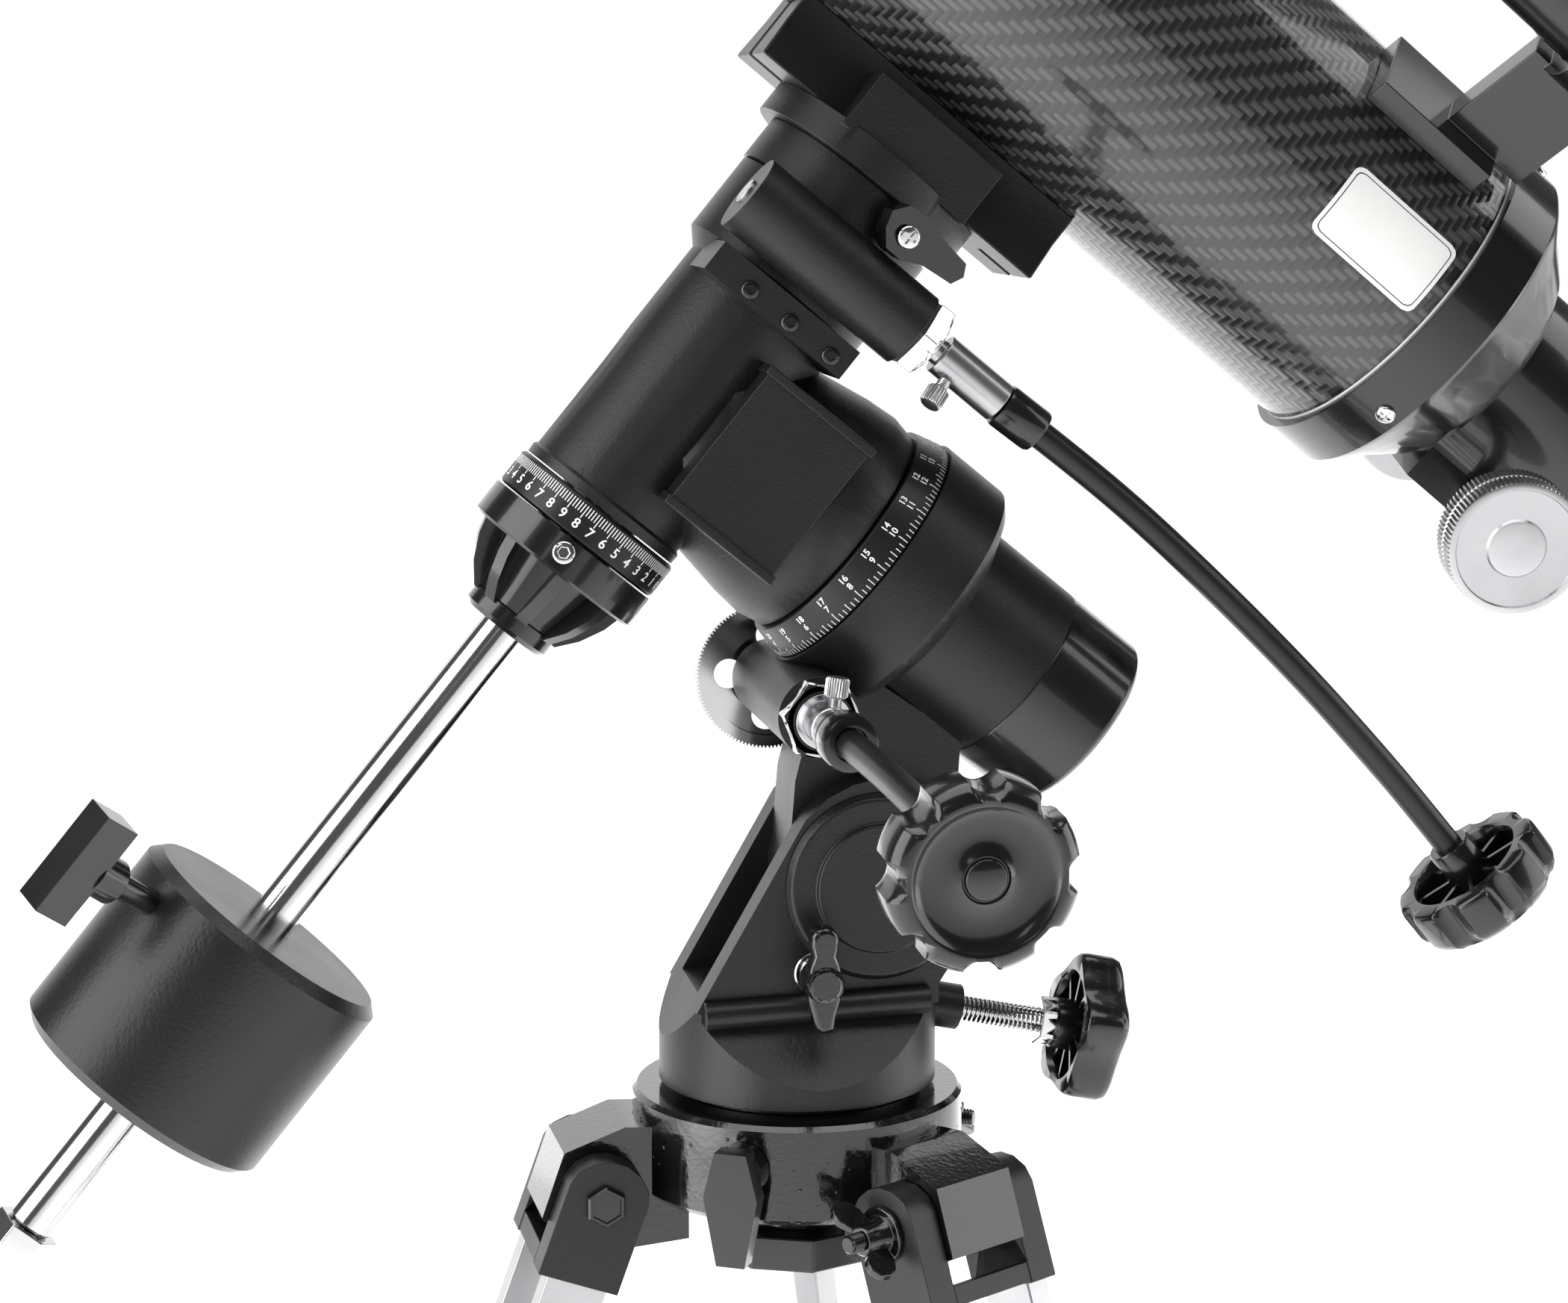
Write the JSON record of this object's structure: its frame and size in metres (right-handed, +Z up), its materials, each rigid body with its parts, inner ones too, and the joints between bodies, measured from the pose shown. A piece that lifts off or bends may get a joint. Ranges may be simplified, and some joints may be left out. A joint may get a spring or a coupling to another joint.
{
  "type": "telescope on tripod",
  "caption": "Refracting telescope on a German equatorial mount with counterweight, slow-motion knobs and a folding three-leg tripod.",
  "frame": {"origin": "on the floor, under the azimuth axis", "axes": "+Z up; the polar axis rises towards -X in the XZ plane; -Y is the side of the slow-motion knobs"},
  "size_m": [0.646, 0.5674, 1.3584],
  "materials": {
    "black_casting": "fine-textured satin powder coat",
    "hub_black": "glossy black enamel with fine droplets",
    "black_plastic": "glossy moulded plastic",
    "bracket_plastic": "finely textured moulded plastic",
    "silver_leg": "satin anodised extrusion",
    "rubber": "matt",
    "bright_steel": "polished",
    "satin_steel": "satin turned",
    "weight_iron": "textured black paint",
    "carbon_tube": "clear-coated carbon twill pattern",
    "dial": "black dial with white marks",
    "lens": "coated optical glass",
    "focuser_metal": "machined",
    "cable_skin": "satin"
  },
  "bodies": {
    "tripod": {"tripod_hub": "hub_black", "leg_bolts": "hub_black"},
    "hand_nut": {"mount_bolt": "black_plastic"},
    "azimuth_lock": {"azimuth_lock": "black_plastic"},
    "leg_1": {"leg_bracket_1": "bracket_plastic", "leg_rails_1": "silver_leg", "leg_collar_1": "bracket_plastic"},
    "lower_leg_1": {"lower_leg_1": "silver_leg", "foot_1": "rubber"},
    "leg_knob_1": {"leg_knob_1": "black_plastic"},
    "brace_1": {"brace_1": "bracket_plastic"},
    "leg_2": {"leg_bracket_2": "bracket_plastic", "leg_rails_2": "silver_leg", "leg_collar_2": "bracket_plastic"},
    "lower_leg_2": {"lower_leg_2": "silver_leg", "foot_2": "rubber"},
    "leg_knob_2": {"leg_knob_2": "black_plastic"},
    "brace_2": {"brace_2": "bracket_plastic"},
    "leg_3": {"leg_bracket_3": "bracket_plastic", "leg_rails_3": "silver_leg", "leg_collar_3": "bracket_plastic"},
    "lower_leg_3": {"lower_leg_3": "silver_leg", "foot_3": "rubber"},
    "leg_knob_3": {"leg_knob_3": "black_plastic"},
    "brace_3": {"brace_3": "bracket_plastic"},
    "tray": {"accessory_tray": "bracket_plastic"},
    "azimuth_base": {"mount_base": "black_casting", "latitude_bolt": "black_casting"},
    "latitude_screw": {"latitude_screw": "black_plastic"},
    "latitude_lock": {"latitude_lock": "black_plastic"},
    "polar_body": {"polar_housing": "black_casting", "polar_cap": "black_plastic", "ra_worm_housing": "black_casting", "ra_cable": "cable_skin"},
    "ra_circle": {"ra_circle": "dial"},
    "ra_worm": {"ra_worm_shaft": "satin_steel"},
    "ra_knob": {"ra_knob": "black_plastic"},
    "dec_body": {"dec_housing": "black_casting", "dec_nose": "black_plastic", "counterweight_shaft": "bright_steel", "shaft_end_bolt": "bright_steel", "dec_worm_block": "black_casting", "dec_cable": "cable_skin"},
    "dec_circle": {"dec_circle": "dial"},
    "counterweight": {"counterweight": "weight_iron"},
    "counterweight_screw": {"counterweight_screw": "black_plastic"},
    "dec_worm": {"dec_worm_shaft": "satin_steel"},
    "dec_knob": {"dec_knob": "black_plastic"},
    "dec_lever": {"dec_clamp_lever": "black_plastic"},
    "optical_tube": {"saddle_head": "black_casting", "dovetail_bar": "black_casting", "tube": "carbon_tube", "lens_cell": "black_plastic", "dew_shield": "carbon_tube", "objective_lens": "lens", "focuser_body": "black_plastic", "finder_bracket": "black_plastic", "finder_scope": "black_plastic"},
    "drawtube": {"drawtube": "satin_steel"},
    "focus_knobs": {"focus_knobs": "focuser_metal"}
  },
  "joints": [
    {"name": "hand_nut_turn", "type": "hinge", "parent": "tripod", "child": "hand_nut", "pos_m": [0, 0, 0.645], "axis": [0, 0, 1], "continuous": true},
    {"name": "azimuth_lock_turn", "type": "hinge", "parent": "tripod", "child": "azimuth_lock", "pos_m": [-0.02521, -0.04548, 0.687], "axis": [-0.4848, -0.8746, 0], "range_deg": [-60, 60]},
    {"name": "leg_fold_1", "type": "hinge", "parent": "tripod", "child": "leg_1", "pos_m": [-0.06596, -0.0023, 0.672], "axis": [-0.0349, 0.9994, 0], "range_deg": [-17, 0]},
    {"name": "leg_slide_1", "type": "slide", "parent": "leg_1", "child": "lower_leg_1", "axis": [-0.3418, -0.0119, -0.9397], "range_m": [0, 0.22]},
    {"name": "leg_knob_turn_1", "type": "hinge", "parent": "leg_1", "child": "leg_knob_1", "pos_m": [-0.25247, -0.00882, 0.19932], "axis": [-0.9391, -0.0328, 0.342], "continuous": true},
    {"name": "brace_turn_1", "type": "hinge", "parent": "leg_1", "child": "brace_1", "pos_m": [-0.16091, -0.00562, 0.3554], "axis": [-0.0349, 0.9994, 0], "range_deg": [-28.25, 0]},
    {"name": "leg_fold_2", "type": "hinge", "parent": "tripod", "child": "leg_2", "pos_m": [0.03497, -0.05597, 0.672], "axis": [-0.848, -0.5299, 0], "range_deg": [-17, 0]},
    {"name": "leg_slide_2", "type": "slide", "parent": "leg_2", "child": "lower_leg_2", "axis": [0.1812, -0.29, -0.9397], "range_m": [0, 0.22]},
    {"name": "leg_knob_turn_2", "type": "hinge", "parent": "leg_2", "child": "leg_knob_2", "pos_m": [0.13387, -0.21423, 0.19932], "axis": [0.498, -0.7969, 0.342], "continuous": true},
    {"name": "brace_turn_2", "type": "hinge", "parent": "leg_2", "child": "brace_2", "pos_m": [0.08532, -0.13655, 0.3554], "axis": [-0.848, -0.5299, 0], "range_deg": [-28.25, 0]},
    {"name": "leg_fold_3", "type": "hinge", "parent": "tripod", "child": "leg_3", "pos_m": [0.03099, 0.05827, 0.672], "axis": [0.8829, -0.4695, 0], "range_deg": [-17, 0]},
    {"name": "leg_slide_3", "type": "slide", "parent": "leg_3", "child": "lower_leg_3", "axis": [0.1606, 0.302, -0.9397], "range_m": [0, 0.22]},
    {"name": "leg_knob_turn_3", "type": "hinge", "parent": "leg_3", "child": "leg_knob_3", "pos_m": [0.1186, 0.22305, 0.19932], "axis": [0.4412, 0.8297, 0.342], "continuous": true},
    {"name": "brace_turn_3", "type": "hinge", "parent": "leg_3", "child": "brace_3", "pos_m": [0.07559, 0.14217, 0.3554], "axis": [0.8829, -0.4695, 0], "range_deg": [-28.25, 0]},
    {"name": "tray_rise", "type": "slide", "parent": "tripod", "child": "tray", "axis": [0, 0, 1], "range_m": [0, 0.06]},
    {"name": "azimuth_turn", "type": "hinge", "parent": "tripod", "child": "azimuth_base", "pos_m": [0, 0, 0.7], "axis": [0, 0, 1], "continuous": true},
    {"name": "latitude_screw_turn", "type": "hinge", "parent": "azimuth_base", "child": "latitude_screw", "pos_m": [0.08232, 0, 0.71465], "axis": [0.9781, 0, -0.2079], "continuous": true},
    {"name": "latitude_lock_turn", "type": "hinge", "parent": "azimuth_base", "child": "latitude_lock", "pos_m": [0.0004, -0.026, 0.7415], "axis": [0, -1, 0], "range_deg": [-75, 75]},
    {"name": "latitude_tilt", "type": "hinge", "parent": "azimuth_base", "child": "polar_body", "pos_m": [0.0205, 0, 0.7676], "axis": [0, 1, 0], "range_deg": [0, 28]},
    {"name": "ra_circle_turn", "type": "hinge", "parent": "polar_body", "child": "ra_circle", "pos_m": [0.01565, 0, 0.87126], "axis": [-0.7738, 0, 0.6334], "continuous": true},
    {"name": "ra_worm_turn", "type": "hinge", "parent": "polar_body", "child": "ra_worm", "pos_m": [-0.0016, 0, 0.82335], "axis": [0, -1, 0], "continuous": true},
    {"name": "ra_knob_turn", "type": "hinge", "parent": "polar_body", "child": "ra_knob", "pos_m": [0.0014, -0.203, 0.81735], "axis": [0.0321, -0.9948, -0.0963], "continuous": true},
    {"name": "right_ascension", "type": "hinge", "parent": "polar_body", "child": "dec_body", "pos_m": [-0.0362, 0, 0.9137], "axis": [-0.7738, 0, 0.6334], "range_deg": [-70, 95]},
    {"name": "dec_circle_turn", "type": "hinge", "parent": "dec_body", "child": "dec_circle", "pos_m": [-0.06502, 0, 0.87849], "axis": [0.6334, 0, 0.7738], "continuous": true},
    {"name": "counterweight_slide", "type": "slide", "parent": "dec_body", "child": "counterweight", "axis": [0.6334, 0, 0.7738], "range_m": [-0.05, 0.1]},
    {"name": "counterweight_screw_turn", "type": "hinge", "parent": "counterweight", "child": "counterweight_screw", "pos_m": [-0.1773, -0.006, 0.75394], "axis": [-0.6636, -0.5145, 0.5431], "continuous": true},
    {"name": "dec_worm_turn", "type": "hinge", "parent": "dec_body", "child": "dec_worm", "pos_m": [0.00117, -0.036, 0.95936], "axis": [0.7738, 0, -0.6334], "continuous": true},
    {"name": "dec_knob_turn", "type": "hinge", "parent": "dec_body", "child": "dec_knob", "pos_m": [0.20075, -0.036, 0.77533], "axis": [0.6417, 0, -0.767], "continuous": true},
    {"name": "dec_lever_turn", "type": "hinge", "parent": "dec_body", "child": "dec_lever", "pos_m": [0.02017, -0.02, 0.96836], "axis": [0.1371, -0.9842, -0.1122], "range_deg": [-5, 40]},
    {"name": "declination", "type": "hinge", "parent": "dec_body", "child": "optical_tube", "pos_m": [0.01764, 0, 0.97948], "axis": [0.6334, 0, 0.7738], "continuous": true},
    {"name": "focus_slide", "type": "slide", "parent": "optical_tube", "child": "drawtube", "axis": [0.7738, 0, -0.6334], "range_m": [0, 0.06]},
    {"name": "focus_turn", "type": "hinge", "parent": "optical_tube", "child": "focus_knobs", "pos_m": [0.21826, 0.00726, 0.88672], "axis": [0.1532, 0.9703, 0.1872], "range_deg": [0, 600]}
  ],
  "couplings": [
    {"joint": "brace_turn_1", "follows": "leg_fold_1", "ratio": 1.6612},
    {"joint": "leg_fold_2", "follows": "leg_fold_1", "ratio": 1},
    {"joint": "brace_turn_2", "follows": "leg_fold_1", "ratio": 1.6612},
    {"joint": "leg_fold_3", "follows": "leg_fold_1", "ratio": 1},
    {"joint": "brace_turn_3", "follows": "leg_fold_1", "ratio": 1.6612},
    {"joint": "tray_rise", "follows": "leg_fold_1", "m_per_rad": -0.202},
    {"joint": "ra_knob_turn", "follows": "ra_worm_turn", "ratio": 1},
    {"joint": "dec_worm_turn", "follows": "dec_knob_turn", "ratio": 1},
    {"joint": "focus_turn", "follows": "focus_slide", "rad_per_m": 166.67}
  ]
}
